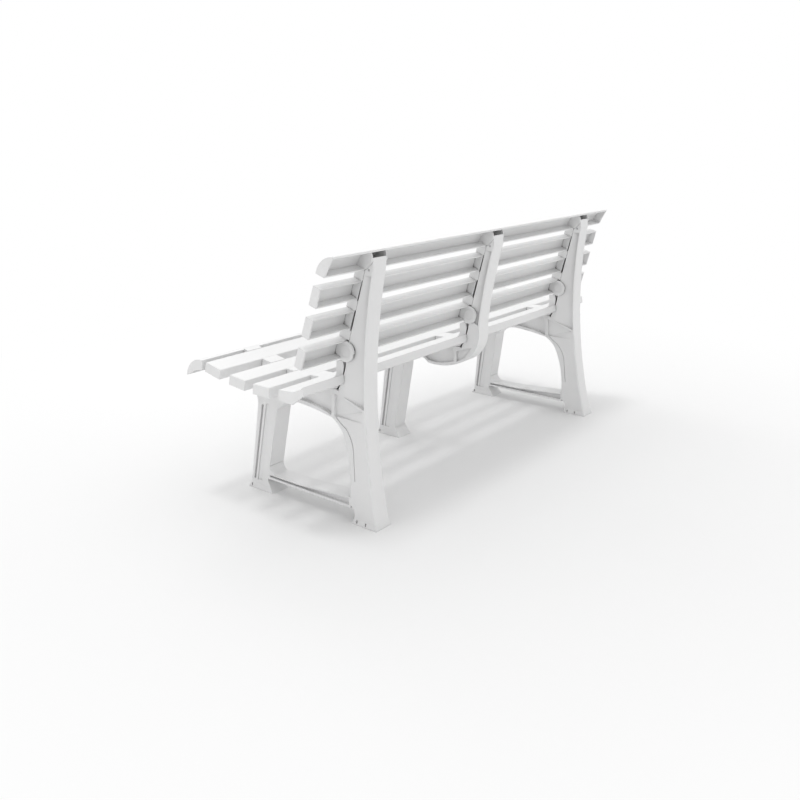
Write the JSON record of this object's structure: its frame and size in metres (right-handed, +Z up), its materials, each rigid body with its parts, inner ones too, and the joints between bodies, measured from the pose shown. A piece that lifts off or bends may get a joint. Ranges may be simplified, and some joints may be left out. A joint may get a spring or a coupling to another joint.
{
  "type": "convertible picnic table bench",
  "caption": "Slatted garden bench in moulded plastic whose whole back panel hinges at the post tops and swings up into a table top.",
  "frame": {"origin": "on the floor, under the centre of the bench in its bench position", "axes": "+X along the bench, +Y to the rear, +Z up; the seat faces -Y"},
  "size_m": [1.6, 0.6054, 0.7625],
  "materials": {
    "white_plastic": "satin moulded white polypropylene",
    "pin_steel": "satin"
  },
  "bodies": {
    "bench_frame": {"catch_stud_left": "white_plastic", "catch_stud_middle": "white_plastic", "catch_stud_right": "white_plastic", "end_frame_left": "white_plastic", "end_frame_right": "white_plastic", "hinge_pin_left": "pin_steel", "hinge_pin_middle": "pin_steel", "hinge_pin_right": "pin_steel", "middle_frame": "white_plastic", "seat_rail_left": "white_plastic", "seat_rail_middle": "white_plastic", "seat_rail_right": "white_plastic", "seat_slat_2": "white_plastic", "seat_slat_3": "white_plastic", "seat_slat_4": "white_plastic", "seat_slat_front": "white_plastic", "seat_slat_rear": "white_plastic", "stretcher_left": "white_plastic", "stretcher_right": "white_plastic"},
    "back_panel": {"back_rail_left": "white_plastic", "back_rail_middle": "white_plastic", "back_rail_right": "white_plastic", "back_slat_1": "white_plastic", "back_slat_2": "white_plastic", "back_slat_3": "white_plastic", "back_slat_top": "white_plastic"}
  },
  "joints": [
    {"name": "panel_hinge", "type": "hinge", "parent": "bench_frame", "child": "back_panel", "pos_m": [0, 0.27254, 0.70703], "axis": [-1, 0, 0], "range_deg": [0, 72.5]}
  ]
}
